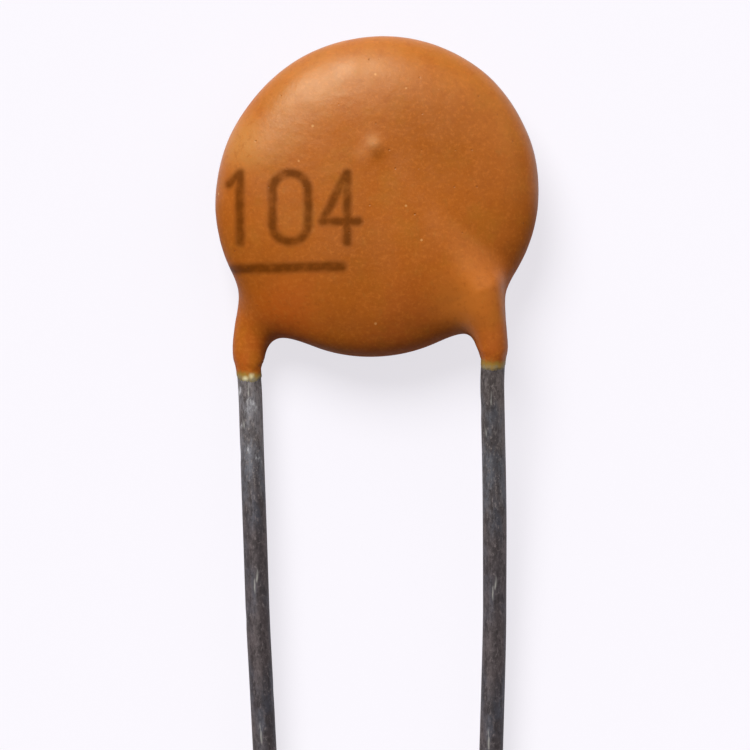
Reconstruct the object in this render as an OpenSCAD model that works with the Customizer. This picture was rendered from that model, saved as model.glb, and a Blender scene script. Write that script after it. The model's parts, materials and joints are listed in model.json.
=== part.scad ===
// Dipped ceramic disc capacitor with two long leads, lying on its belly and its lead ends.
// The disc is sketched flat first: its centre at the origin, leads toward -Y, marked face up.
// lay_down() then tips the sketch back onto the surface, and puts the origin under its middle.

/* [Coating] */
// Mean diameter of the coated disc
coat_d = 6.69; // [6.6:0.01:6.8]
// How much the radius grows and shrinks around the slightly oval disc
coat_oval = 0.07; // [0:0.01:0.1]
// Height of the marked face above the middle plane
front_h = 0.95; // [0.92:0.01:1]
// Height of the rear face, where the resin lies thicker
rear_h = 1.08; // [1.05:0.01:1.15]
// Roundness of the rim: a higher number gives a flatter face and a blunter rim
edge_power = 3.2; // [3:0.1:4]

/* [Ceramic] */
// Diameter of the ceramic disc
disc_d = 5.7; // [5.4:0.1:5.8]
// Thickness of the ceramic disc
disc_t = 0.6; // [0.5:0.02:0.62]
// Diameter of the silver electrode fired onto each face
electrode_d = 5; // [4.6:0.1:5.2]
// Thickness of each electrode
electrode_t = 0.03; // [0.02:0.01:0.03]

/* [Leads] */
// Diameter of the tinned lead wire
lead_d = 0.5; // [0.48:0.01:0.51]
// Distance between the leads where they leave the coating
lead_pitch = 5.02; // [4.9:0.02:5.1]
// Free length of the leads, from the coating to the cut ends
lead_length = 20; // [14:1:30]
// How far the resin runs down the front lead, below the lower edge of the disc
front_run_down = 0; // [0:0.02:0.3]
// How far the resin runs down the rear lead, below the lower edge of the disc
rear_run_down = 0.22; // [0:0.02:0.4]

/* [Solder] */
// Width of the solder bed under each lead
solder_w = 1.1; // [1:0.1:1.2]
// Length of the solder bed
solder_l = 3.6; // [3:0.1:3.8]

/* [Hidden] */
$fn = 72;

// Heights of the layers above the middle plane
face_z = disc_t / 2;
silver_z = face_z + electrode_t;
solder_film = 0.02;
wire_r = lead_d / 2;
wire_z = silver_z + solder_film + wire_r;

// The coating: direction of the long axis of its slightly oval outline
coat_r = coat_d / 2;
oval_turn = 38;
// Radius of the resin around a lead: over the disc, at the rim, at the knee of the leg and below
over_disc = 0.28;
front_rim = 0.32;
rear_rim = 0.27;
at_knee = 0.3;
at_leg_end = 0.28;
// Widths of the fillets between the disc and each lead, over the face and at the legs
face_fillet = 0.45;
front_leg_fillet = 1;
rear_leg_fillet = 1.18;
bend_fillet = 0.05;
// The fillets widen between these two levels
fillet_starts = -0.3;
fillet_full = -3.25;
// The burr on the cut end of the front lead stands proud under the resin, as a small pimple
pimple_h = 0.06;
pimple_r = 0.2;
pimple_at = [0, 1];
tiny = 0.000001;

// Where the leads leave the coating: the middle of the pair lies a little off the disc's middle
legs_x = -0.13;
front_x = legs_x + lead_pitch / 2;
rear_x = legs_x - lead_pitch / 2;
front_end_y = -coat_r - front_run_down;
rear_end_y = -coat_r - rear_run_down;

// Routes of the leads: from a cut end over the disc, past its rim, into the leg, and out in slow
// bends. The rim is passed with a small clearance, at an angle to each side below the middle.
tip_x = 0.1;
tip_y = 1.02;
rim_clearance = 0.07;
front_rim_turn = -41.9;
rear_rim_turn = -140.5;
// Each leg bends down a little above the disc's lower edge. There the front lead is still in
// front of the middle plane and the rear lead behind it; they come together further down.
front_leg_up = 0.345;
rear_leg_up = 0.325;
front_leg_right = 0.06;
rear_leg_right = -0.08;
front_leg_z = 0.47;
rear_leg_z = -0.42;

function past_rim(turn, z) =
    let (r = disc_d / 2 + rim_clearance)
    [r * cos(turn), r * sin(turn), z];

front_tip = [-tip_x, tip_y, wire_z];
front_over = past_rim(front_rim_turn, wire_z);
front_leg = [front_x + front_leg_right, front_leg_up - coat_r, front_leg_z];
front_slow_bends = [[front_x, -3.7, 0.39], [front_x + 0.06, -6.2, 0.13],
                    [front_x + 0.056, -8.9, 0]];
front_toe_in = 1.55;
rear_tip = [tip_x, tip_y, -wire_z];
rear_over = past_rim(rear_rim_turn, -wire_z);
rear_leg = [rear_x + rear_leg_right, rear_leg_up - coat_r, rear_leg_z];
rear_slow_bends = [[rear_x + 0.01, -3.9, -0.33], [rear_x + 0.07, -5.8, -0.14],
                   [rear_x + 0.185, -9, 0]];
rear_toe_in = 3.1;
cut_y = (front_end_y + rear_end_y) / 2 - lead_length;
// Below this level each lead is straight and truly round; the bent wire runs on inside it a little
straight_y = -9.9;
lap = 0.4;

// How the part lies: belly and both lead ends touch the surface. The belly is the rear face with
// the low ridge that the rear lead makes in it.
rear_ridge = pow(max(0, face_fillet + wire_z + over_disc - rear_h), 2) / (4 * face_fillet);
belly_h = rear_h + rear_ridge;
function belly(pitch) =
    let (q = pow(tan(pitch) * coat_r / (belly_h * edge_power / 2), 1 / (edge_power - 1)))
    belly_h * sqrt(1 - pow(q, edge_power)) * cos(pitch) + q * coat_r * sin(pitch);
first_pitch = asin((belly_h - wire_r) / -cut_y);
rest_pitch = asin((belly(first_pitch) - wire_r) / -cut_y);
rest_h = belly(rest_pitch);
middle_y = (coat_r + cut_y) / 2;

module lay_down() {
    translate([0, -middle_y, rest_h])
        rotate([rest_pitch, 0, 0])
            children();
}

// ---- Shape of the resin: each measure is below zero inside, and about a distance outside ----

// Two shapes run together with a fillet about k wide
function blend(a, b, k) =
    let (h = max(0, k - abs(a - b)))
    min(a, b) - h * h / (4 * k);

// 0 before a, 1 after b, with soft ends
function ramp(a, b, x) =
    let (t = min(1, max(0, (x - a) / (b - a))))
    t * t * (3 - 2 * t);

// The lens around the ceramic, slightly oval and thicker at the rear
function lens(p) =
    let (rho = norm([p.x, p.y]) + tiny,
         r = coat_r + coat_oval * cos(2 * (atan2(p.y, p.x) - oval_turn)),
         h = p.z > 0 ? front_h : rear_h,
         a = pow(rho / r, edge_power),
         g = a + pow(p.z / h, 2))
    2 * (g - sqrt(g)) / norm([edge_power * a / rho, 2 * p.z / (h * h)]);

// A round rod from a to b, whose radius is the fourth number of each end
function rod(p, a, b) =
    let (s = [a.x, a.y, a.z],
         v = [b.x, b.y, b.z] - s,
         t = min(1, max(0, (p - s) * v / (v * v))))
    norm(p - s - t * v) - a[3] - (b[3] - a[3]) * t;

// The resin that clings along one lead, from the route's start to its point number last
function sleeve(p, route, last = 4) =
    last < 2 ? rod(p, route[0], route[1])
    : blend(sleeve(p, route, last - 1), rod(p, route[last - 1], route[last]), bend_fillet);

// The point d away from a, on the way to b
function toward(a, b, d) = a + d * unit(b - a);

// The point on the line from a to b that is level with y
function level_on(a, b, y) = a + (b - a) * (y - a.y) / (b.y - a.y);

// The resin rounds the bend of the leg between points this far from it, and goes on a little past
// the level where it is cut off
knee_l = 0.22;
run_on = 0.11;
function resin_route(tip, over, rim_r, leg, bend, end_y) =
    [[each tip, over_disc],
     [each over, rim_r],
     [each toward(leg, over, knee_l), at_knee],
     [each toward(leg, bend, knee_l), at_leg_end],
     [each level_on(leg, bend, end_y - run_on), at_leg_end]];
front_route = resin_route(front_tip, front_over, front_rim, front_leg, front_slow_bends[0],
                          front_end_y);
rear_route = resin_route(rear_tip, rear_over, rear_rim, rear_leg, rear_slow_bends[0], rear_end_y);

function pimple(p) =
    p.z < 0 ? 0
    : pimple_h * exp(-pow(norm([p.x, p.y] - pimple_at) / pimple_r, 2) / 2);

function resin(p) =
    let (w = ramp(fillet_starts, fillet_full, p.y),
         front_k = face_fillet + (front_leg_fillet - face_fillet) * w,
         rear_k = face_fillet + (rear_leg_fillet - face_fillet) * w)
    blend(blend(lens(p), sleeve(p, front_route), front_k), sleeve(p, rear_route), rear_k)
    - pimple(p);

// How many times d reaches from c to the surface of the resin, by halving the span
function reach(c, d, inside, outside, halvings) =
    let (m = (inside + outside) / 2)
    halvings < 1 ? m
    : resin(c + m * d) > 0 ? reach(c, d, inside, m, halvings - 1)
    : reach(c, d, m, outside, halvings - 1);

// ---- The coating's skin: rings around a bow that runs up one leg, over the disc and down ----

leg_rings = 7;
fan_rings = 58;
ring_sides = 40;
skin_halvings = 13;
// The rings over the disc fan out from a point below it, between the legs
fan_drop = 0.955;
fan_at = [legs_x, -coat_r - fan_drop];
fan_crowding = 0.11;
// They follow the legs forward and back in this share of the fan's turn
fan_lift = 0.12;
front_spoke = [front_leg.x, front_leg.y] - fan_at;
rear_spoke = [rear_leg.x, rear_leg.y] - fan_at;
// The end of the resin on each leg: turn of its edge seen from the front, and its lean
rear_end_turn = 187;
front_end_turn = 0;
end_lean = 0.35;
// How far the skin is looked for: around a leg, short of the fan's point, and in shares of a
// ring's own half width
leg_room = 1.2;
fan_room = 0.1;
nearest = 0.4;
furthest = 1.7;

function heading(turn) = [cos(turn), sin(turn), 0];

function turn_of(v) = atan2(v.y, v.x);

// One ring: its centre, the direction across it, the direction through the thickness, and how
// far back across it the skin is looked for
function fan_ring(t) =
    let (eased = t - fan_crowding * sin(360 * t),
         u = heading(turn_of(rear_spoke) + (turn_of(front_spoke) - turn_of(rear_spoke)) * eased),
         spoke = norm(rear_spoke) + (norm(front_spoke) - norm(rear_spoke)) * t,
         s = max(spoke, -fan_at * [u.x, u.y]),
         z = rear_leg_z * ramp(fan_lift, 0, eased) + front_leg_z * ramp(1 - fan_lift, 1, eased))
    [[fan_at.x + s * u.x, fan_at.y + s * u.y, z], u, [0, 0, 1], s - fan_room];

function leg_ring(leg, end, end_turn, spoke, t) =
    let (turn = end_turn + (turn_of(spoke) - end_turn) * t)
    [end + (leg - end) * t, heading(turn), [0, -end_lean * (1 - t), 1], leg_room];

rear_end = level_on(rear_leg, rear_slow_bends[0], rear_end_y);
front_end = level_on(front_leg, front_slow_bends[0], front_end_y);
bow = [for (i = [0 : leg_rings - 1])
           leg_ring(rear_leg, rear_end, rear_end_turn, rear_spoke, i / leg_rings),
       for (i = [0 : fan_rings])
           fan_ring(i / fan_rings),
       for (i = [1 : leg_rings])
           leg_ring(front_leg, front_end, front_end_turn, front_spoke, 1 - i / leg_rings)];

function skin_ring(r) =
    let (out = reach(r[0], r[1], 0, coat_d, skin_halvings + 3),
         back = reach(r[0], -r[1], 0, r[3], skin_halvings + 3),
         level = r[0] + r[1] * (out - back) / 2,
         up = reach(level, r[2], 0, coat_d, skin_halvings + 3),
         down = reach(level, -r[2], 0, coat_d, skin_halvings + 3),
         c = level + r[2] * (up - down) / 2,
         half = (out + back) / 2,
         h = (up + down) / 2)
    [for (j = [0 : ring_sides - 1])
        let (turn = 360 * j / ring_sides,
             d = half * cos(turn) * r[1] + h * sin(turn) * r[2])
        c + d * reach(c, d, nearest, furthest, skin_halvings)];

// Triangles of a closed skin around rings with n points each
function skin_faces(rings, n) =
    [for (i = [0 : rings - 2], j = [0 : n - 1])
        let (a = i * n + j,
             b = i * n + (j + 1) % n)
        each [[a, b, b + n], [a, b + n, a + n]],
     [for (j = [0 : n - 1]) n - 1 - j],
     [for (j = [0 : n - 1]) (rings - 1) * n + j]];

module skin(rings) {
    polyhedron(points = [for (r = rings) each r],
               faces = skin_faces(len(rings), len(rings[0])));
}

// ---- The lead wires ----

wire_sides = 16;
sharp_bend = 0.35;
slow_bend = 1;
sharp_steps = 6;
slow_steps = 4;
// The drawn wire is this much slimmer than the round one that it runs into
slimmer = 0.004;

function unit(v) = v / norm(v);

// Points of a rounded corner at v, between a before it and b after it
function corner(a, v, b, d, steps) =
    let (p = v + d * unit(a - v),
         q = v + d * unit(b - v))
    [for (i = [0 : steps])
        let (t = i / steps)
        (1 - t) * (1 - t) * p + 2 * t * (1 - t) * v + t * t * q];

// The point on the last straight, level with y
function on_straight(bends, toe_in, y) =
    let (last = bends[len(bends) - 1])
    last + [-sign(last.x) * (last.y - y) * tan(toe_in), y - last.y, 0];

function wire_path(tip, over, leg, bends, toe_in) =
    let (end = on_straight(bends, toe_in, straight_y - lap))
    [tip,
     each corner(tip, over, leg, sharp_bend, sharp_steps),
     each corner(over, leg, bends[0], sharp_bend, sharp_steps),
     each corner(leg, bends[0], bends[1], sharp_bend, slow_steps),
     each corner(bends[0], bends[1], bends[2], slow_bend, slow_steps),
     each corner(bends[1], bends[2], end, slow_bend / 2, slow_steps),
     end];

front_path = wire_path(front_tip, front_over, front_leg, front_slow_bends, front_toe_in);
rear_path = wire_path(rear_tip, rear_over, rear_leg, rear_slow_bends, rear_toe_in);

function wire_ring(path, i) =
    let (before = path[max(0, i - 1)],
         after = path[min(len(path) - 1, i + 1)],
         along = unit(after - before),
         across = unit(cross(along, [0, 0, 1])),
         up = cross(across, along),
         r = wire_r - slimmer)
    [for (j = [0 : wire_sides - 1])
        let (turn = 360 * (j + 0.5) / wire_sides)
        path[i] + r * (cos(turn) * across + sin(turn) * up)];

module bent_wire(path) {
    skin([for (i = [0 : len(path) - 1]) wire_ring(path, i)]);
}

module straight_wire(bends, toe_in) {
    start = on_straight(bends, toe_in, straight_y);
    translate(start)
        rotate([90, 0, -sign(start.x) * toe_in])
            cylinder(r = wire_r, h = (straight_y - cut_y) / cos(toe_in));
}

module lead(path, bends, toe_in) {
    bent_wire(path);
    straight_wire(bends, toe_in);
}

// ---- Solder beds ----

// How deep the bed's axis lies under the electrode's face, and how far the bed stays off the
// lead's cut end
solder_depth = 0.12;
bed_offset = 0.15;
bed_steps = 8;

// A bed with round ends, lying along the lead with its back uppermost, cut off at the electrode
module solder_bed(tip, over, side) {
    r = solder_w / 2;
    along = unit(over - tip);
    turn = atan2(along.y, along.x);
    middle = tip + along * (solder_l / 2 - r + bed_offset);
    intersection() {
        translate([middle.x, middle.y, side * (silver_z - solder_depth)])
            rotate([0, 90, turn])
                rotate_extrude()
                    polygon([[0, -solder_l / 2],
                             for (i = [1 : bed_steps])
                                 let (a = 90 * i / bed_steps)
                                 [r * sin(a), -solder_l / 2 + r - r * cos(a)],
                             for (i = [0 : bed_steps - 1])
                                 let (a = 90 * i / bed_steps)
                                 [r * cos(a), solder_l / 2 - r + r * sin(a)],
                             [0, solder_l / 2]]);
        translate([middle.x, middle.y, side * (silver_z + solder_w / 2)])
            cube([2 * solder_l, 2 * solder_l, solder_w], center = true);
    }
}

module electrode(side) {
    translate([0, 0, side * (face_z + electrode_t / 2)])
        cylinder(d = electrode_d, h = electrode_t, center = true);
}

// ---- Sub-parts ----

module coating() {
    color("peru")
        lay_down()
            difference() {
                skin([for (r = bow) skin_ring(r)]);
                cylinder(d = disc_d, h = disc_t, center = true);
                electrode(1);
                electrode(-1);
                solder_bed(front_tip, front_over, 1);
                solder_bed(rear_tip, rear_over, -1);
                bent_wire(front_path);
                bent_wire(rear_path);
            }
}

module ceramic_disc() {
    color("wheat")
        lay_down()
            cylinder(d = disc_d, h = disc_t, center = true);
}

module front_electrode() {
    color("silver")
        lay_down()
            electrode(1);
}

module rear_electrode() {
    color("silver")
        lay_down()
            electrode(-1);
}

module front_solder() {
    color("lightslategray")
        lay_down()
            difference() {
                solder_bed(front_tip, front_over, 1);
                bent_wire(front_path);
            }
}

module rear_solder() {
    color("lightslategray")
        lay_down()
            difference() {
                solder_bed(rear_tip, rear_over, -1);
                bent_wire(rear_path);
            }
}

module front_lead() {
    color("dimgray")
        lay_down()
            lead(front_path, front_slow_bends, front_toe_in);
}

module rear_lead() {
    color("dimgray")
        lay_down()
            lead(rear_path, rear_slow_bends, rear_toe_in);
}

coating();
ceramic_disc();
front_electrode();
rear_electrode();
front_solder();
rear_solder();
front_lead();
rear_lead();
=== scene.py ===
"""Looks of a dipped ceramic disc capacitor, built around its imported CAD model.

The disc and its leads are worked out in a flat sketch in millimetres: the disc's centre is the
origin, the leads run toward -Y and the marked face looks along +Z. The sketch is then laid into
the frame as the CAD part lies there. Its sizes are those of the part's source, but for the few
that are marked as different.
"""

import json
import math

import bpy
import numpy as np
from mathutils import Matrix, Vector


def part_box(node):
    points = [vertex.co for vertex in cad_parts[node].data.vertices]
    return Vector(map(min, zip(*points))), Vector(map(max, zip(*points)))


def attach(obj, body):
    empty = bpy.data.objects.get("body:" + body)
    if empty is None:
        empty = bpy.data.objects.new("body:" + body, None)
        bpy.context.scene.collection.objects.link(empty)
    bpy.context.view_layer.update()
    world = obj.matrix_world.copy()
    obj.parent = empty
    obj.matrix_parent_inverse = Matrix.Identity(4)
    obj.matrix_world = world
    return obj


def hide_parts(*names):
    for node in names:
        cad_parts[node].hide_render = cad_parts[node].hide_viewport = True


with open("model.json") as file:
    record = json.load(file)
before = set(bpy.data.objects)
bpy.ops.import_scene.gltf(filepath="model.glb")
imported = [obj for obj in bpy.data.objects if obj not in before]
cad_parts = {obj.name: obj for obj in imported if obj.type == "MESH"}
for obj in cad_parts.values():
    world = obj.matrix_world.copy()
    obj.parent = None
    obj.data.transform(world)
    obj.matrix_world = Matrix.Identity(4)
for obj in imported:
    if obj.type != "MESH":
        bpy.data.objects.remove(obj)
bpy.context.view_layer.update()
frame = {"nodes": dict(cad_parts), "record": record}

MM = 0.001

# ---- Sizes of the part, in millimetres, as in its source ----

COAT_R = 6.69 / 2
COAT_OVAL = 0.07
OVAL_TURN = math.radians(38)
FRONT_H = 0.95
REAR_H = 1.08
EDGE_POWER = 3.2
DISC_R = 5.7 / 2
RIM_CLEARANCE = 0.07
WIRE_R = 0.25
WIRE_Z = 0.6
TIP_Y = 1.02
LEAD_PITCH = 5.02
LEGS_X = -0.13
REAR_RUN_DOWN = 0.22
LEAD_LENGTH = 20
SHARP_BEND = 0.35
SLOW_BEND = 1
# Widths of the fillets between the disc and the leads, over the face. They widen toward the legs
# between these two levels.
FACE_FILLET = 0.45
FILLET_STARTS = -0.3
FILLET_FULL = -3.25
# Radius of the resin around a lead at the end of its leg
AT_LEG_END = 0.28

# ---- Sizes and places that differ from the source's ----

# Radius of the resin around a lead at the leg's knee, and over the cut end. There it is below
# zero, so that the ridge over the lead sinks into the face.
AT_KNEE = 0.29
AT_TIP = -0.1
KNEE_STEPS = 6
# The resin's route goes on this far past the level where the resin ends
RUN_ON = 0.4
# The burr on the cut end of the front lead stands proud under the resin, as a small pimple
PIMPLE_AT = (-0.03, 0.97)
PIMPLE_R = 0.15
PIMPLE_H = 0.048

# ---- The leads ----

FRONT_X = LEGS_X + LEAD_PITCH / 2
REAR_X = LEGS_X - LEAD_PITCH / 2
CUT_Y = -COAT_R - REAR_RUN_DOWN / 2 - LEAD_LENGTH


def past_rim(turn, z):
    """The point where a lead passes the ceramic's rim, with its clearance."""
    r = DISC_R + RIM_CLEARANCE
    return (r * math.cos(math.radians(turn)), r * math.sin(math.radians(turn)), z)


def norm(v):
    return np.linalg.norm(v, axis=-1)


def unit(v):
    return v / norm(v)[..., None]


def corner(a, v, b, d, steps=24):
    """Points of a rounded corner at v, between a before it and b after it."""
    a, v, b = (np.array(p, float) for p in (a, v, b))
    p = v + d * unit(a - v)
    q = v + d * unit(b - v)
    t = np.linspace(0, 1, steps + 1)[:, None]
    return (1 - t) ** 2 * p + 2 * t * (1 - t) * v + t * t * q


def level_on(a, b, y):
    """The point on the line from a to b that is level with y."""
    a, b = np.array(a), np.array(b)
    return a + (b - a) * (y - a[1]) / (b[1] - a[1])


class Lead:
    """The route of one lead, and how the resin clings to it."""

    def __init__(self, side, tip_x, rim_turn, leg, end_y, slow_bends, toe_in, rim_r, leg_fillet):
        self.tip = (tip_x, TIP_Y, side * WIRE_Z)
        self.over = past_rim(rim_turn, side * WIRE_Z)
        self.leg = leg
        self.end = level_on(leg, slow_bends[0], end_y)
        self.slow_bends = slow_bends
        self.toe_in = math.radians(toe_in)
        self.leg_fillet = leg_fillet
        knee = corner(self.over, leg, slow_bends[0], SHARP_BEND, KNEE_STEPS)
        past_end = level_on(leg, slow_bends[0], end_y - RUN_ON)
        self.sleeve = [
            (self.tip, AT_TIP),
            (self.over, rim_r),
            *((p, AT_KNEE) for p in knee),
            (past_end, AT_LEG_END),
        ]


FRONT = Lead(
    side=1, tip_x=-0.1, rim_turn=-41.9, rim_r=0.32, leg_fillet=1, toe_in=1.55,
    leg=(FRONT_X + 0.06, 0.345 - COAT_R, 0.47),
    end_y=-COAT_R,
    slow_bends=[(FRONT_X, -3.7, 0.39), (FRONT_X + 0.06, -6.2, 0.13),
                (FRONT_X + 0.056, -8.9, 0)],
)
REAR = Lead(
    side=-1, tip_x=0.1, rim_turn=-140.5, rim_r=0.27, leg_fillet=1.18, toe_in=3.1,
    leg=(REAR_X - 0.08, 0.325 - COAT_R, -0.42),
    end_y=-COAT_R - REAR_RUN_DOWN,
    slow_bends=[(REAR_X + 0.01, -3.9, -0.33), (REAR_X + 0.07, -5.8, -0.14),
                (REAR_X + 0.185, -9, 0)],
)


def lay_down():
    """The matrix that lays the flat sketch, in millimetres, into the frame."""
    low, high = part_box("ceramic_disc")
    mounts = {m["name"]: m for m in frame["record"]["mounts"]}
    axis = Vector(mounts["front_lead_end"]["axis"])
    pitch = math.atan2(-axis.z, -axis.y)
    return (
        Matrix.Translation((low + high) / 2)
        @ Matrix.Rotation(pitch, 4, "X")
        @ Matrix.Diagonal((MM, MM, MM, 1))
    )


SKETCH = lay_down()

# ---- Mathematics on arrays of points ----

# Waves of one kind differ in length by these factors
WAVE_SPREAD = (0.7, 1.5)


def smooth(start, end, x):
    """0 at start, 1 at end, with soft ends."""
    t = np.clip((x - start) / (end - start), 0, 1)
    return t * t * (3 - 2 * t)


def blend(a, b, k):
    """Two distances run together with a fillet about k wide."""
    h = np.maximum(0, k - np.abs(a - b))
    return np.minimum(a, b) - h * h / (4 * k)


def waves(points, wavelength, seed, count=24):
    """Smooth seeded noise, about -1 to 1, whose waves are about as long as stated."""
    rng = np.random.default_rng(seed)
    heading = unit(rng.normal(size=(count, 3)))
    length = wavelength * rng.uniform(*WAVE_SPREAD, count)
    phase = rng.uniform(0, 2 * math.pi, count)
    total = np.zeros(points.shape[:-1])
    for h, w, p in zip(heading, length, phase):
        total += np.sin(points @ h * (2 * math.pi / w) + p)
    return total / math.sqrt(2 * count)


# ---- Shape of the resin: below zero inside, about a distance outside ----

# How often the span in which the skin is looked for is halved
HALVINGS = 26


def lens(p):
    """The lens around the ceramic, slightly oval and thicker at the rear."""
    x, y, z = p[..., 0], p[..., 1], p[..., 2]
    rho = np.hypot(x, y) + 1e-9
    r = COAT_R + COAT_OVAL * np.cos(2 * (np.arctan2(y, x) - OVAL_TURN))
    h = np.where(z > 0, FRONT_H, REAR_H)
    a = (rho / r) ** EDGE_POWER
    g = a + (z / h) ** 2
    return 2 * (g - np.sqrt(g)) / np.hypot(EDGE_POWER * a / rho, 2 * z / (h * h))


def rod(p, a, b):
    """A round rod between two ends, each given as a point and the radius there."""
    (start, r_start), (end, r_end) = a, b
    v = np.subtract(end, start)
    t = np.clip((p - start) @ v / (v @ v), 0, 1)
    return norm(p - start - t[..., None] * v) - r_start - (r_end - r_start) * t


def sleeve(p, route):
    """The resin that clings along one lead."""
    d = rod(p, route[0], route[1])
    for a, b in zip(route[1:], route[2:]):
        d = np.minimum(d, rod(p, a, b))
    return d


def pimple(p):
    d = np.hypot(p[..., 0] - PIMPLE_AT[0], p[..., 1] - PIMPLE_AT[1]) / PIMPLE_R
    return np.where(p[..., 2] < 0, 0, PIMPLE_H * np.exp(-d * d / 2))


def resin(p):
    w = smooth(FILLET_STARTS, FILLET_FULL, p[..., 1])
    d = lens(p)
    for lead in (FRONT, REAR):
        d = blend(d, sleeve(p, lead.sleeve), FACE_FILLET + (lead.leg_fillet - FACE_FILLET) * w)
    return d - pimple(p)


def reach(start, direction, inside, outside):
    """How many times each direction reaches from its start to the resin's skin."""
    inside, outside = (np.broadcast_to(v, start.shape[:-1]) for v in (inside, outside))
    for _ in range(HALVINGS):
        middle = (inside + outside) / 2
        out = resin(start + middle[..., None] * direction) > 0
        outside = np.where(out, middle, outside)
        inside = np.where(out, inside, middle)
    return (inside + outside) / 2


# ---- Meshes made of rings ----

# An edge sharper than this is shaded as an edge
SHARP_EDGE = math.radians(50)


def ring_mesh(name, rings):
    """A closed mesh around rings, given as an array of ring, point and coordinate."""
    count, sides = rings.shape[:2]
    a = np.arange(count - 1)[:, None] * sides + np.arange(sides)
    b = np.arange(count - 1)[:, None] * sides + (np.arange(sides) + 1) % sides
    quads = np.stack([a, b, b + sides, a + sides], axis=-1).reshape(-1, 4)
    caps = [list(range(sides))[::-1], list(range((count - 1) * sides, count * sides))]
    mesh = bpy.data.meshes.new(name)
    mesh.from_pydata(rings.reshape(-1, 3).tolist(), [], quads.tolist() + caps)
    mesh.validate()
    mesh.shade_smooth()
    mesh.set_sharp_from_angle(angle=SHARP_EDGE)
    return mesh


def put_attribute(mesh, name, values):
    """Stores one number, or one vector, for each point of each ring."""
    vector = values.ndim == 3
    made = mesh.attributes.new(name, "FLOAT_VECTOR" if vector else "FLOAT", "POINT")
    made.data.foreach_set("vector" if vector else "value", values.astype(np.float32).ravel())


def normals(rings):
    """Outward directions at the points of closed rings."""
    around = np.roll(rings, -1, axis=1) - np.roll(rings, 1, axis=1)
    along = np.gradient(rings, axis=0)
    n = np.cross(around, along)
    return n / (norm(n)[..., None] + 1e-12)


def place(name, mesh, material, node):
    """Makes a piece of a sketch mesh: laid down, riding on the part, in place of a CAD node."""
    mesh.transform(SKETCH)
    mesh.materials.append(material)
    piece = bpy.data.objects.new(name, mesh)
    bpy.context.scene.collection.objects.link(piece)
    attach(piece, "root")
    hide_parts(node)


# ---- The coating ----

FAN_RINGS = 236
LEG_RINGS = 40
RING_SIDES = 248
# The rings over the disc fan out from a point below it, between the legs
FAN_DROP = 0.955
FAN_AT = np.array([LEGS_X, -COAT_R - FAN_DROP])
FAN_CROWDING = 0.11
# They follow the legs forward and back in this share of the fan's turn
FAN_LIFT = 0.12
# The end of the resin on each leg: turn of its edge seen from the front, and its lean
REAR_END_TURN = math.radians(187)
FRONT_END_TURN = 0
END_LEAN = 0.35
# How far the skin is looked for: around a leg, short of the fan's point, and in shares of a
# ring's own half width
LEG_ROOM = 1.2
FAN_ROOM = 0.1
NEAREST = 0.4
FURTHEST = 1.7
# Waves in the skin: height, wavelength, seed and count. None rises above the crest, in heights.
SKIN_WAVES = ((0.012, 2.4, 3, 24), (0.004, 0.9, 5, 24), (0.0012, 0.32, 8, 40))
CREST = 1.2
# They fade out between these two levels, on the way down to the legs' ends
WAVES_FULL = -2.7
WAVES_END = -3.3
# Past a leg's end the resin goes on as a film on the wire, this long and this thick
FILM = 0.15
FILM_T = 0.008
# Its thickness varies by this share, in waves this long
FILM_UNEVEN = 0.4
FILM_WAVE = 0.4
# Its edge wanders by these waves: height, wavelength and seed
EDGE_WAVES = ((0.018, 0.22, 11), (0.014, 0.07, 12))
# Past its edge the skin dives this far into the wire, and its last ring lies this far past the
# resin's end
DIVE = 0.01
PAST_END = 0.3
# Between these heights above the edge the film sets in, the skin dives, the resin grows to its
# full thickness, and it looks less and less thin
FILM_SETS_IN = (-0.04, 0.01)
DIVES = (0, -0.05)
FILLS_OUT = (0.5 * FILM, 2.6 * FILM)
LOOKS_THIN = (1.8 * FILM, 0)
# A leg's skin is nearer than this to its wire's axis
LEG_REACH = 0.6


def turn_of(v):
    return math.atan2(v[1], v[0])


def fan_rings(rear_spoke, front_spoke):
    """Rings that fan out over the disc from a point below it, between the legs.

    Each ring has a centre, a direction across it and one through the thickness, and the length
    over which the skin is looked for, back across the ring.
    """
    t = np.linspace(0, 1, FAN_RINGS + 1)
    eased = t - FAN_CROWDING * np.sin(2 * math.pi * t)
    z = REAR.leg[2] * smooth(FAN_LIFT, 0, eased) + FRONT.leg[2] * smooth(1 - FAN_LIFT, 1, eased)
    turn = turn_of(rear_spoke) + (turn_of(front_spoke) - turn_of(rear_spoke)) * eased
    across = np.stack([np.cos(turn), np.sin(turn), 0 * turn], axis=-1)
    spoke = norm(rear_spoke) + (norm(front_spoke) - norm(rear_spoke)) * t
    s = np.maximum(spoke, -(across[:, :2] @ FAN_AT))
    centre = np.append(FAN_AT, 0) + s[:, None] * across
    centre[:, 2] = z
    through = np.tile([0.0, 0.0, 1.0], (len(t), 1))
    return centre, across, through, s - FAN_ROOM


def leg_rings(lead, spoke, end_turn):
    """Rings up one leg, from a little past the resin's end to the fan's edge, in the same form."""
    leg = np.array(lead.leg)
    past = 1 + PAST_END / norm(leg - lead.end)
    t = past - np.arange(LEG_RINGS) / LEG_RINGS * past
    centre = leg + (lead.end - leg) * t[:, None]
    turn = turn_of(spoke) + (end_turn - turn_of(spoke)) * np.minimum(t, 1)
    across = np.stack([np.cos(turn), np.sin(turn), 0 * turn], axis=-1)
    through = np.stack([0 * t, -END_LEAN * np.minimum(t, 1), 0 * t + 1], axis=-1)
    return centre, across, through, np.full(len(t), LEG_ROOM)


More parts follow.
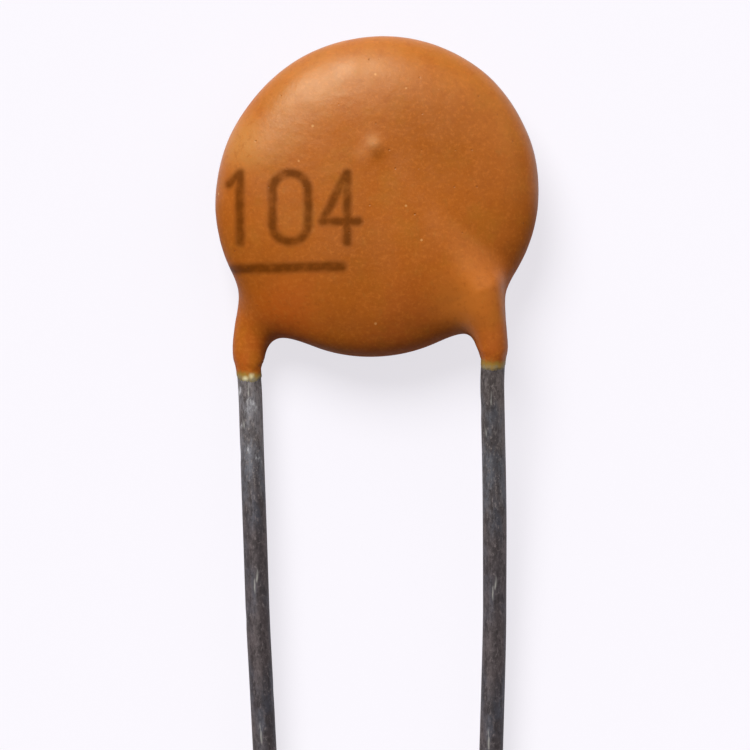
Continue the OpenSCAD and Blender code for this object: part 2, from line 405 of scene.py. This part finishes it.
def skin_rings():
    """All rings of the coating, from the rear leg's end over the disc to the front leg's end."""
    rear_spoke = np.array(REAR.leg[:2]) - FAN_AT
    front_spoke = np.array(FRONT.leg[:2]) - FAN_AT
    rear = leg_rings(REAR, rear_spoke, REAR_END_TURN)
    front = leg_rings(FRONT, front_spoke, FRONT_END_TURN)
    fan = fan_rings(rear_spoke, front_spoke)
    centre, across, through, room = (
        np.concatenate([r, m, f[::-1]]) for r, m, f in zip(rear, fan, front)
    )
    out = reach(centre, across, 0, 2 * COAT_R)
    back = reach(centre, -across, 0, room)
    centre = centre + across * ((out - back) / 2)[:, None]
    half = (out + back) / 2
    up = reach(centre, through, 0, 2 * COAT_R)
    down = reach(centre, -through, 0, 2 * COAT_R)
    centre = centre + through * ((up - down) / 2)[:, None]
    h = (up + down) / 2
    turn = 2 * math.pi * np.arange(RING_SIDES) / RING_SIDES
    spokes = (
        (half[:, None] * np.cos(turn))[..., None] * across[:, None]
        + (h[:, None] * np.sin(turn))[..., None] * through[:, None]
    )
    centres = np.broadcast_to(centre[:, None], spokes.shape)
    return centres + spokes * reach(centres, spokes, NEAREST, FURTHEST)[..., None]


def undulate(rings):
    """Sinks the skin here and there, as a dipped and cured resin lies: never outward."""
    lift = sum(
        height * (waves(rings, wavelength, seed, count) - CREST)
        for height, wavelength, seed, count in SKIN_WAVES
    )
    lift = lift * smooth(WAVES_END, WAVES_FULL, rings[..., 1])
    return rings + normals(rings) * lift[..., None]


def feather(rings, lead, path):
    """Thins the resin out to a ragged edge on the wire. Returns the rings and how thin they are."""
    y = rings[..., 1]
    axis = np.stack([np.interp(-y, -path[:, 1], path[:, i]) for i in range(3)], axis=-1)
    d = rings - axis
    d[..., 1] = 0
    from_axis = norm(d)
    mine = (from_axis < LEG_REACH) & (y < lead.leg[1])
    ragged = sum(h * waves(rings, wavelength, seed) for h, wavelength, seed in EDGE_WAVES)
    edge = lead.end[1] - END_LEAN * (rings[..., 2] - lead.end[2]) - FILM + ragged
    above = y - edge
    film = FILM_T * (1 + FILM_UNEVEN * waves(rings, FILM_WAVE, seed=13))
    full = np.maximum(from_axis - WIRE_R - film, 0)
    target = WIRE_R + film * smooth(*FILM_SETS_IN, above) - DIVE * smooth(*DIVES, above)
    target = target + full * smooth(*FILLS_OUT, above)
    new = axis + d * (target / np.maximum(from_axis, 1e-9))[..., None]
    new[..., 1] = y
    thin = smooth(*LOOKS_THIN, above)
    return np.where(mine[..., None], new, rings), np.where(mine, thin, 0)


def coating_mesh():
    rings = undulate(skin_rings())
    thin = np.zeros(rings.shape[:2])
    for lead in (REAR, FRONT):
        rings, thin_here = feather(rings, lead, wire_path(lead))
        thin = np.maximum(thin, thin_here)
    mesh = ring_mesh("coating_skin", rings)
    put_attribute(mesh, "sketch", rings)
    put_attribute(mesh, "thin", thin)
    return mesh


# ---- The lead wires ----

WIRE_SIDES = 64
# The distance between a wire's rings
STATION = 0.05
# The tin lies unevenly: depth, wavelength, its highest crest in depths, and how the waves are
# drawn out along the wire
TIN = 0.004
TIN_WAVE = 0.8
TIN_CREST = 1.1
TIN_DRAWN = (1, 1, 0.35)
# It has a few shallow dents, where waves of this kind rise from the first level to the second
DENT = 0.008
DENT_WAVE = 0.55
DENT_DRAWN = (1, 1, 0.6)
DENTED = (0.75, 1.5)
# The cutter pinches this much of a lead's end: wider, flatter, and more so from below
PINCH_L = 0.3
PINCH_WIDER = 0.06
PINCH_FLATTER = 0.35
PINCH_FROM_BELOW = 0.3
# The rings that fill in a lead's cut end, as shares of its radius
CUT_FACE = (0.9, 0.7, 0.4, 0.02)


def wire_path(lead):
    """The centre line of a lead, from its cut end over the disc to its free end."""
    b1, b2, b3 = lead.slow_bends
    rise = b3[1] - CUT_Y
    end = (b3[0] - math.copysign(rise * math.tan(lead.toe_in), b3[0]), CUT_Y, 0)
    return np.vstack([
        lead.tip,
        corner(lead.tip, lead.over, lead.leg, SHARP_BEND),
        corner(lead.over, lead.leg, b1, SHARP_BEND),
        corner(lead.leg, b1, b2, SHARP_BEND),
        corner(b1, b2, b3, SLOW_BEND),
        corner(b2, b3, end, SLOW_BEND / 2),
        end,
    ])


def stations(path):
    """Evenly spaced points along a path, their directions, and their distance from its start."""
    steps = norm(np.diff(path, axis=0))
    at = np.concatenate([[0], np.cumsum(steps)])
    s = np.linspace(0, at[-1], int(at[-1] / STATION) + 1)
    points = np.stack([np.interp(s, at, path[:, i]) for i in range(3)], axis=-1)
    return points, unit(np.gradient(points, axis=0)), s


def with_cut_face(rings):
    """The rings with smaller and smaller ones added, which fill in the last ring."""
    face = np.repeat(rings[-1:], len(CUT_FACE), axis=0)
    face[..., :2] *= np.array(CUT_FACE)[:, None, None]
    return np.concatenate([rings, face])


def lead_mesh(name, lead, seed):
    """A drawn wire: nearly round, with uneven tin, shallow dents and a pinched cut end."""
    points, along, s = stations(wire_path(lead))
    across = unit(np.cross(along, [0.0, 0.0, 1.0]))
    up = np.cross(across, along)
    # From across to up is a backward turn about the wire, so the points go the other way round:
    # that makes the faces look outward
    turn = -2 * math.pi * np.arange(WIRE_SIDES) / WIRE_SIDES
    round_at = np.stack([np.cos(turn), np.sin(turn)], axis=-1) * WIRE_R
    flat = np.broadcast_to(round_at, (len(s), WIRE_SIDES, 2)).copy()
    far = np.broadcast_to(s[:, None, None], flat.shape[:2] + (1,))
    where = np.concatenate([flat, far], axis=-1)
    tin = TIN * (waves(where * TIN_DRAWN, TIN_WAVE, seed) - TIN_CREST)
    dented = waves(where * DENT_DRAWN, DENT_WAVE, seed + 1, count=12)
    dents = -DENT * smooth(*DENTED, dented)
    pinch = smooth(PINCH_L, 0, s[-1] - s)[:, None]
    flat *= (1 + (tin + dents) / WIRE_R)[..., None]
    flat[..., 0] *= 1 + PINCH_WIDER * pinch
    flat[..., 1] *= 1 - PINCH_FLATTER * pinch * (1 - PINCH_FROM_BELOW * np.sign(flat[..., 1]))
    flat, where = with_cut_face(flat), with_cut_face(where)
    extra = ((0, len(CUT_FACE)), (0, 0))
    points, across, up = (np.pad(v, extra, mode="edge") for v in (points, across, up))
    rings = points[:, None] + flat[..., :1] * across[:, None] + flat[..., 1:] * up[:, None]
    mesh = ring_mesh(name, rings)
    put_attribute(mesh, "wire", where)
    return mesh


# ---- Shader graphs ----


def srgb(r, g, b):
    """A colour as read on a screen, 0 to 255, in the linear values that shaders take."""
    linear = [c / 3294.6 if c <= 10 else ((c / 255 + 0.055) / 1.055) ** 2.4 for c in (r, g, b)]
    return (*linear, 1)


class Graph:
    """One material, and short ways to add nodes to it."""

    def __init__(self, name):
        self.material = bpy.data.materials.new(name)
        self.material.use_nodes = True
        self.tree = self.material.node_tree
        self.shader = self.tree.nodes["Principled BSDF"]

    def add(self, kind, *inputs, **settings):
        node = self.tree.nodes.new("ShaderNode" + kind)
        for key, value in settings.items():
            setattr(node, key, value)
        for socket, value in zip(node.inputs, inputs):
            self.feed(socket, value)
        return node

    def feed(self, socket, value):
        if isinstance(value, bpy.types.NodeSocket):
            self.tree.links.new(value, socket)
        elif value is not None:
            socket.default_value = value

    def set(self, **values):
        """Feeds the shader's own sockets, named with _ for a space."""
        for name, value in values.items():
            self.feed(self.shader.inputs[name.replace("_", " ")], value)

    def math(self, operation, a, b=None, clamp=False):
        return self.add("Math", a, b, operation=operation, use_clamp=clamp).outputs[0]

    def vector(self, operation, a, b=None):
        made = self.add("VectorMath", a, b, operation=operation)
        return made.outputs["Value" if operation in ("LENGTH", "DOT_PRODUCT") else "Vector"]

    def scaled(self, v, by):
        node = self.add("VectorMath", v, operation="SCALE")
        self.feed(node.inputs["Scale"], by)
        return node.outputs["Vector"]

    def attribute(self, name, output):
        return self.add("Attribute", attribute_name=name).outputs[output]

    def parts(self, v):
        """The three numbers of a vector."""
        return self.add("SeparateXYZ", v).outputs

    def distance(self, at, middle):
        return self.vector("LENGTH", self.vector("SUBTRACT", at, middle))

    def noise(self, at, scale, detail=2.0, roughness=0.5, output=0):
        node = self.add("TexNoise")
        for key, value in (("Vector", at), ("Scale", scale), ("Detail", detail),
                           ("Roughness", roughness)):
            self.feed(node.inputs[key], value)
        return node.outputs[output]

    def swing(self, noise, by):
        """Noise taken to both sides of zero, times a number."""
        return self.math("MULTIPLY", self.math("SUBTRACT", noise, 0.5), by)

    def cells(self, at, scale):
        """Distance to the middle of a cell, and the cell's own random colour."""
        node = self.add("TexVoronoi")
        self.feed(node.inputs["Vector"], at)
        self.feed(node.inputs["Scale"], scale)
        return node.outputs["Distance"], node.outputs["Color"]

    def span(self, value, start, end, low=0.0, high=1.0):
        """Takes value from start to end onto low to high, held beyond both, with soft ends."""
        node = self.add("MapRange", value, start, end, low, high,
                        interpolation_type="SMOOTHSTEP")
        return node.outputs[0]

    def mix(self, share, a, b, how="MIX"):
        """Mixes two colours, whose sockets on a Mix node are numbers 6 and 7, into output 2."""
        node = self.add("Mix", data_type="RGBA", blend_type=how)
        for key, value in ((0, share), (6, a), (7, b)):
            self.feed(node.inputs[key], value)
        return node.outputs[2]

    def tint(self, colour, value, start, end, share, to):
        """Goes over to another screen colour, up to a share, as value goes from start to end."""
        return self.mix(self.span(value, start, end, 0.0, share), colour, srgb(*to))

    def dab(self, colour, mask, share, to):
        """Lays a share of another screen colour wherever mask is 1."""
        return self.mix(self.math("MULTIPLY", mask, share), colour, srgb(*to))

    def bump(self, height, distance_mm, under=None):
        node = self.add("Bump")
        for key, value in (("Height", height), ("Distance", distance_mm * MM), ("Normal", under)):
            self.feed(node.inputs[key], value)
        return node.outputs[0]


# ---- Ink: three plain digits over a bar, stamped on the marked face ----

DIGIT_H = 1.42
DIGIT_W = 0.74
DIGIT_PITCH = 1.04
FIRST_DIGIT = -2.83
BASE_LINE = -0.96
STROKE = 0.105
BAR = ((-2.98, -1.52), (-0.72, -1.46))
BAR_STROKE = 0.115
# A one's flag reaches this far left and down. A four's stem stands this share of its width right
# of its middle, and its bar at this share of its height.
FLAG = 0.22
FOUR_STEM = 0.18
FOUR_BAR = 0.3
# How far the ink wanders from its place, and how far outward and inward its edge fades
DRIFT = 0.05
FADE_OUT = 0.06
FADE_IN = 0.08


def one(x):
    top = BASE_LINE + DIGIT_H
    return [((x, BASE_LINE), (x, top)), ((x, top), (x - FLAG, top - FLAG))]


def four(x):
    left, right = x - DIGIT_W / 2, x + DIGIT_W / 2
    stem = x + DIGIT_W * FOUR_STEM
    top, bar = BASE_LINE + DIGIT_H, BASE_LINE + FOUR_BAR * DIGIT_H
    return [((stem, BASE_LINE), (stem, top)), ((stem, top), (left, bar)),
            ((left, bar), (right, bar))]


def stroke_distance(g, at, a, b):
    """Distance from a point to the straight stroke from a to b, seen from above."""
    v = Vector(b) - Vector(a)
    from_a = g.vector("SUBTRACT", at, (*a, 0))
    along = g.vector("DOT_PRODUCT", from_a, (*v, 0))
    along = g.math("MULTIPLY", along, 1 / v.length_squared, clamp=True)
    return g.distance(from_a, g.scaled((*v, 0), along))


def nought_distance(g, at, x):
    """Distance from a point to a nought, which is a loop around an upright core."""
    r = DIGIT_W / 2
    core = stroke_distance(g, at, (x, BASE_LINE + r), (x, BASE_LINE + DIGIT_H - r))
    return g.math("ABSOLUTE", g.math("SUBTRACT", core, r))


def ink(g, at):
    """How much ink covers each point of the marked face."""
    drift = g.noise(at, 5.0, output="Color")
    shift = g.scaled(g.vector("SUBTRACT", drift, (0.5, 0.5, 0.5)), DRIFT)
    flat = g.vector("MULTIPLY", g.vector("ADD", at, shift), (1, 1, 0))
    strokes = one(FIRST_DIGIT) + four(FIRST_DIGIT + 2 * DIGIT_PITCH)
    distances = [stroke_distance(g, flat, a, b) for a, b in strokes]
    distances.append(nought_distance(g, flat, FIRST_DIGIT + DIGIT_PITCH))
    bar = stroke_distance(g, flat, *BAR)
    distances.append(g.math("SUBTRACT", bar, BAR_STROKE - STROKE))
    distance = distances[0]
    for d in distances[1:]:
        distance = g.math("MINIMUM", distance, d)
    cover = g.span(distance, STROKE + FADE_OUT, STROKE - FADE_IN)
    patchy = g.span(g.noise(at, 3.5, detail=4, roughness=0.65), 0.3, 0.6, 0.62, 1.0)
    front = g.span(g.parts(at)[2], 0.0, 0.1)
    return g.math("MULTIPLY", g.math("MULTIPLY", cover, patchy), front)


# ---- The resin's material ----

# Patches of colour on the resin: middle, reach, share and colour. Most are painted light and shade
# on the marked face, as each says.
RESIN_PATCHES_AND_PAINTED_LIGHT = (
    # Painted sheen on the upper left of the rim
    ((-2.75, 1.1, 0.4), 0.95, 0.5, (198, 140, 72)),
    # Painted shade on the upper right of the face
    ((1.25, 1.3, 1.0), 1.7, 0.5, (148, 76, 6)),
    # Painted light on the root of the front leg
    ((1.95, -2.1, 0.6), 1.2, 0.6, (206, 120, 42)),
    # Lighter and redder, low on the left of the face
    ((-1.9, -2.45, 0.5), 1.2, 0.5, (200, 92, 24)),
    # Darker, below the middle of the face
    ((-0.5, -1.2, 1.0), 1.1, 0.4, (140, 70, 8)),
    # Painted shade below the pimple, partly a darker stain
    ((-0.01, 0.92, 0.95), 0.26, 0.4, (120, 66, 12)),
    # Painted highlight on the pimple
    ((-0.08, 1.13, 1.0), 0.24, 0.15, (224, 170, 96)),
    # A weaker painted highlight, left of the pimple
    ((-0.3, 0.86, 1.0), 0.3, 0.25, (200, 130, 78)),
)
# Painted highlights on the resin's edge on the rear lead, as steps from the resin's end
PAINTED_EDGE_HIGHLIGHTS = ((-0.06, -0.22, 0.26), (0.06, -0.17, 0.26))
EDGE_HIGHLIGHT_R = 0.09
RESIN_IOR = 1.47
# Specular level of the waxed resin, and of its matt lower edge and the ink
WAXED = 0.5
MATT = 0.15


def broad_resin(g, at, down):
    """Colour of the resin from afar: soft clouds that redden downward, mottling, and patches, most
    of them painted light and shade.
    """
    cloud = g.span(g.noise(at, 0.55, detail=3, roughness=0.55), 0.3, 0.7, -1.0, 1.0)
    cloud = g.math("ADD", down, cloud)
    colour = g.mix(g.span(cloud, -3.6, -0.6), srgb(174, 101, 32), srgb(168, 88, 19))
    colour = g.tint(colour, cloud, 1.2, 3.6, 1.0, (167, 83, 23))
    mottle = g.noise(at, 2.2, detail=4, roughness=0.55)
    colour = g.tint(colour, mottle, 0.4, 0.75, 0.4, (156, 80, 14))
    olive = g.noise(g.vector("ADD", at, (7, 3, 5)), 1.3, detail=4, roughness=0.6)
    colour = g.tint(colour, olive, 0.46, 0.7, 0.5, (163, 96, 22))
    # Most of these patches are painted sheen, highlights, light and shade
    for middle, radius, share, patch in RESIN_PATCHES_AND_PAINTED_LIGHT:
        colour = g.tint(colour, g.distance(at, middle), radius, 0.1 * radius, share, patch)
    return colour


def scatter(g, at, scale, channel, few, size):
    """Round spots in some of the cells of a pattern: few and size each go from none to full."""
    near, cell = g.cells(at, scale)
    chosen = g.span(g.add("SeparateColor", cell).outputs[channel], *few)
    return g.math("MULTIPLY", g.span(near, *size), chosen)


def resin_edge(g, at, colour):
    """Resin thinned out on a wire is olive and curdled, with two painted highlights on the rear
    lead.
    """
    curd = g.noise(g.vector("MULTIPLY", at, (1, 0.5, 1)), 8.0, detail=3, roughness=0.6)
    thinning = g.math("ADD", g.attribute("thin", "Fac"), g.swing(curd, 0.9))
    colour = g.tint(colour, thinning, 0.05, 0.75, 1.0, (146, 112, 48))
    colour = g.tint(colour, thinning, 0.7, 1.15, 1.0, (128, 118, 92))
    for step in PAINTED_EDGE_HIGHLIGHTS:
        away = g.math("ADD", g.distance(at, REAR.end + np.array(step)), g.swing(curd, 0.1))
        colour = g.tint(colour, away, EDGE_HIGHLIGHT_R, 0.0, 0.75, (214, 206, 164))
    return colour


def resin_material():
    g = Graph("dipped_resin")
    at = g.attribute("sketch", "Vector")
    down = g.math("MULTIPLY", g.parts(at)[1], -1.0)
    colour = broad_resin(g, at, down)
    grain = g.noise(at, 14.0, detail=3, roughness=0.6)
    colour = g.tint(colour, grain, 0.45, 0.75, 0.5, (192, 108, 36))
    fleck = g.noise(g.vector("ADD", at, (3, 8, 1)), 7.0, detail=4, roughness=0.7)
    colour = g.tint(colour, fleck, 0.5, 0.7, 0.4, (150, 74, 14))
    specks = scatter(g, at, 3.1, channel=0, few=(0.80, 0.84), size=(0.12, 0.04))
    colour = g.dab(colour, specks, 0.55, (218, 160, 96))
    pits = scatter(g, at, 5.3, channel=1, few=(0.86, 0.88), size=(0.16, 0.02))
    colour = g.dab(colour, pits, 0.4, (104, 52, 14))
    colour = resin_edge(g, at, colour)
    inked = ink(g, at)
    colour = g.dab(colour, inked, 0.9, (96, 45, 0))
    height = g.math("ABSOLUTE", g.parts(at)[2])
    matt = g.math("MULTIPLY", g.span(height, 0.75, 0.3), g.span(down, -0.4, 0.6))
    matt = g.math("MAXIMUM", matt, inked)
    gloss = g.span(g.noise(at, 1.6, detail=4, roughness=0.6), 0.3, 0.7, 0.36, 0.46)
    roughness = g.math("ADD", gloss, g.math("MULTIPLY", matt, 0.12))
    peel = g.bump(g.noise(at, 5.5), 0.005)
    tooth = g.bump(g.noise(at, 24.0, detail=3, roughness=0.6), 0.0018, peel)
    normal = g.bump(g.math("SUBTRACT", 1.0, pits), 0.006, tooth)
    g.set(Base_Color=colour, Roughness=roughness, Normal=normal, IOR=RESIN_IOR,
          Specular_IOR_Level=g.span(matt, 0.0, 1.0, WAXED, MATT),
          Specular_Tint=srgb(255, 250, 214))
    return g.material


# ---- The wires' material ----

# What the lane of painted shade and the dull stretch of a wire take from its colour
PAINTED_LANE_SHADE = (0.58, 0.56, 0.57, 1)
DULL_SHADE = (0.66, 0.64, 0.68, 1)
# Half width of the lane of painted shade, from its soft edge to its core, and its sway, in wire
# radii
LANE_EDGE = 0.55
LANE_CORE = 0.1
LANE_SWAY = 0.2
# A wire grows dull over this length, and its worn stretch starts and ends over these
DULLING_L = 2.5
WORN_START_L = 0.15
WORN_END_L = 1.5


def cut_face(g, at, colour, bloom, grain):
    """The cut end shows copper around a steel core, under the tin."""
    spoke = g.vector("LENGTH", g.vector("MULTIPLY", at, (1 / WIRE_R, 1 / WIRE_R, 0)))
    spoke = g.math("ADD", spoke, g.swing(bloom, 0.2))
    colour = g.tint(colour, spoke, 0.9, 0.86, 1.0, (168, 118, 92))
    steel = g.mix(grain, srgb(112, 108, 106), srgb(150, 148, 148))
    return g.mix(g.span(spoke, 0.74, 0.68), colour, steel)


def wire_material(name, shade_lane, dull_from, bright_from, bright_to, share):
    """Tinned wire gone dull: blotchy brown-grey bloom, fine grain, tin rubbed bright, and painted
    glints.

    A lane of painted shade runs along the wire, this many radii off its middle. The wire grows
    dull from dull_from on, and a share of it is worn between bright_from and bright_to, all
    measured along it in millimetres from the end inside the resin.
    """
    g = Graph(name)
    at = g.attribute("wire", "Vector")

    def drawn(stretch):
        return g.vector("MULTIPLY", at, (1, 1, stretch))

    tone = g.span(g.noise(drawn(0.35), 1.3, detail=3, roughness=0.6), 0.4, 0.6)
    colour = g.mix(tone, srgb(114, 104, 101), srgb(102, 103, 109))
    across, _, far = g.parts(at)
    # A lane of painted shade sways a little along the wire
    sway = g.noise(g.vector("MULTIPLY", at, (0, 0, 1)), 0.6, detail=3, roughness=0.6)
    middle = g.span(sway, 0.3, 0.7, (shade_lane - LANE_SWAY) * WIRE_R, (shade_lane + LANE_SWAY) * WIRE_R)
    off = g.math("ABSOLUTE", g.math("SUBTRACT", across, middle))
    in_shade_lane = g.span(off, LANE_EDGE * WIRE_R, LANE_CORE * WIRE_R)
    colour = g.mix(in_shade_lane, colour, PAINTED_LANE_SHADE, "MULTIPLY")
    worn = g.math("MULTIPLY", g.span(far, bright_from, bright_from + WORN_START_L),
                  g.span(far, bright_to, bright_to - WORN_END_L))
    colour = g.dab(colour, worn, share, (150, 146, 148))
    bloom = g.noise(drawn(0.5), 4.5, detail=5, roughness=0.72)
    colour = g.tint(colour, bloom, 0.42, 0.64, 0.8, (70, 62, 60))
    streak = g.noise(drawn(0.12), 13.0, detail=4, roughness=0.7)
    colour = g.tint(colour, streak, 0.48, 0.68, 0.6, (58, 52, 52))
    grain = g.noise(drawn(0.6), 17.0, detail=4, roughness=0.8)
    colour = g.tint(colour, grain, 0.52, 0.68, 0.65, (150, 140, 136))
    colour = g.tint(colour, grain, 0.47, 0.33, 0.7, (44, 38, 38))
    dull = g.span(far, dull_from, dull_from + DULLING_L)
    colour = g.mix(dull, colour, DULL_SHADE, "MULTIPLY")
    patchy = g.noise(drawn(0.45), 5.5, detail=5, roughness=0.6)
    rubbed = g.math("MULTIPLY", g.span(worn, 0.0, 0.5),
                    g.span(patchy, 0.66 - share / 4, 0.8 - share / 4))
    colour = g.dab(colour, rubbed, 0.75, (198, 197, 198))
    # Rare pale streaks drawn out along the wire are painted glints
    painted_glint_at = g.vector("MULTIPLY", g.vector("ADD", at, (4, 1, 2)), (1, 1, 0.22))
    colour = g.tint(colour, g.noise(painted_glint_at, 4.5, detail=3), 0.65, 0.75, 0.7, (186, 184, 176))
    colour = cut_face(g, at, colour, bloom, grain)
    roughness = g.math("SUBTRACT", g.span(grain, 0.3, 0.7, 0.58, 0.7),
                       g.math("MULTIPLY", rubbed, 0.2))
    normal = g.bump(grain, 0.004, g.bump(streak, 0.003))
    g.set(Base_Color=colour, Metallic=0.45, Roughness=roughness, Normal=normal)
    return g.material


# ---- The inner pieces' materials ----


def granular_material(name, light, dark, scale, roughness, metallic=0.0):
    """A plain inner material with fine grain: colours, roughness and relief vary together."""
    g = Graph(name)
    at = g.scaled(g.add("TexCoord").outputs["Object"], 1 / MM)
    broad = g.noise(at, scale * 0.2, detail=3, roughness=0.55)
    fine = g.noise(at, scale, detail=4, roughness=0.6)
    colour = g.mix(g.span(broad, 0.35, 0.65), srgb(*light), srgb(*dark))
    colour = g.tint(colour, fine, 0.45, 0.75, 0.5, dark)
    g.set(Base_Color=colour, Roughness=g.span(fine, 0.3, 0.7, roughness - 0.08, roughness + 0.08),
          Normal=g.bump(fine, 0.004), Metallic=metallic)
    return g.material


def dress_inner_nodes():
    """The pieces sealed in the resin keep their CAD shapes and get their own finishes."""
    ceramic = granular_material(
        "fired_ceramic", light=(214, 200, 176), dark=(184, 166, 140), scale=14, roughness=0.62
    )
    silver = granular_material(
        "fired_silver", light=(206, 204, 198), dark=(168, 164, 158), scale=30, roughness=0.42,
        metallic=1.0,
    )
    solder = granular_material(
        "set_solder", light=(178, 178, 182), dark=(128, 128, 134), scale=9, roughness=0.36,
        metallic=1.0,
    )
    finishes = {
        "ceramic_disc": ceramic,
        "front_electrode": silver,
        "rear_electrode": silver,
        "front_solder": solder,
        "rear_solder": solder,
    }
    for node, material in finishes.items():
        for holder in frame["nodes"][node].material_slots:
            holder.material = material


# ---- Floor, light and camera ----

PALE = srgb(248, 245, 251)
FLOOR_GREY = srgb(165, 163, 168)
# How much of the floor's look is its own plain glow. The rest takes light, and the shadow.
FLOOR_GLOW = 0.78
WORLD_STRENGTH = 0.1
# Half the floor's side, and how far the lamps stand from the part, in metres
FLOOR_HALF = 0.8
LAMP_FROM = 0.3
# The picture's width and middle, and the camera's distance, in millimetres of the sketch
VIEW_WIDTH = 15.53
VIEW_CENTRE = (-0.04, -3.706, 0)
CAMERA_FROM = 240


def floor_material():
    """A grey floor that looks pale, with a faint shadow, and throws little light back up."""
    g = Graph("pale_floor")
    path = g.add("LightPath").outputs
    straight = g.math("MAXIMUM", path["Is Camera Ray"], path["Is Transmission Ray"])
    seen = g.math("MAXIMUM", straight, path["Is Glossy Ray"])
    g.set(Base_Color=g.mix(seen, FLOOR_GREY, PALE), Roughness=0.9, Specular_IOR_Level=0)
    glow = g.add("Emission", PALE, 1.0).outputs[0]
    share = g.math("MULTIPLY", straight, FLOOR_GLOW)
    pale = g.add("MixShader", share, g.shader.outputs[0], glow).outputs[0]
    g.feed(g.tree.nodes["Material Output"].inputs["Surface"], pale)
    return g.material


def make_floor():
    mesh = bpy.data.meshes.new("floor")
    corners = [(x * FLOOR_HALF, y * FLOOR_HALF, 0) for x, y in ((-1, -1), (1, -1), (1, 1), (-1, 1))]
    mesh.from_pydata(corners, [], [(0, 1, 2, 3)])
    mesh.materials.append(floor_material())
    floor = bpy.data.objects.new("floor", mesh)
    bpy.context.scene.collection.objects.link(floor)


def make_world():
    world = bpy.data.worlds.new("studio")
    bpy.context.scene.world = world
    world.use_nodes = True
    background = world.node_tree.nodes["Background"]
    background.inputs["Color"].default_value = PALE
    background.inputs["Strength"].default_value = WORLD_STRENGTH


def make_lamp(name, turn, elevation, spread, strength):
    """A soft far lamp that shines on the part. turn 0 is along +X and 90 along +Y."""
    a, e = math.radians(turn), math.radians(elevation)
    back = Vector((math.cos(a) * math.cos(e), math.sin(a) * math.cos(e), math.sin(e)))
    data = bpy.data.lights.new(name, "SUN")
    data.angle = math.radians(spread)
    data.energy = strength
    lamp = bpy.data.objects.new(name, data)
    bpy.context.scene.collection.objects.link(lamp)
    lamp.location = SKETCH.translation + back * LAMP_FROM
    lamp.rotation_euler = back.to_track_quat("Z", "Y").to_euler()


def make_camera():
    data = bpy.data.cameras.new("camera")
    data.sensor_width = 36
    data.lens = data.sensor_width * CAMERA_FROM / VIEW_WIDTH
    data.clip_start, data.clip_end = 0.01, 5
    camera = bpy.data.objects.new("camera", data)
    bpy.context.scene.collection.objects.link(camera)
    camera.matrix_world = (
        Matrix.Translation(SKETCH @ Vector(VIEW_CENTRE))
        @ SKETCH.to_3x3().normalized().to_4x4()
        @ Matrix.Translation((0, 0, CAMERA_FROM * MM))
    )
    bpy.context.scene.camera = camera


def make_studio():
    make_floor()
    make_world()
    make_lamp("window", turn=115, elevation=48, spread=34, strength=3.85)
    make_lamp("sky", turn=110, elevation=18, spread=38, strength=0.55)
    make_lamp("room", turn=38, elevation=40, spread=54, strength=0.45)
    make_camera()
    bpy.context.scene.view_settings.view_transform = "Standard"


# ---- The part ----

front_wire = wire_material(
    "front_wire", shade_lane=-0.12, dull_from=7.2, bright_from=9.0, bright_to=11.0, share=0.1
)
rear_wire = wire_material(
    "rear_wire", shade_lane=-0.3, dull_from=6.8, bright_from=5.2, bright_to=8.0, share=0.4
)
place("coating_skin", coating_mesh(), resin_material(), node="coating")
place("front_lead_wire", lead_mesh("front_lead_wire", FRONT, seed=21), front_wire,
      node="front_lead")
place("rear_lead_wire", lead_mesh("rear_lead_wire", REAR, seed=31), rear_wire,
      node="rear_lead")
dress_inner_nodes()
make_studio()
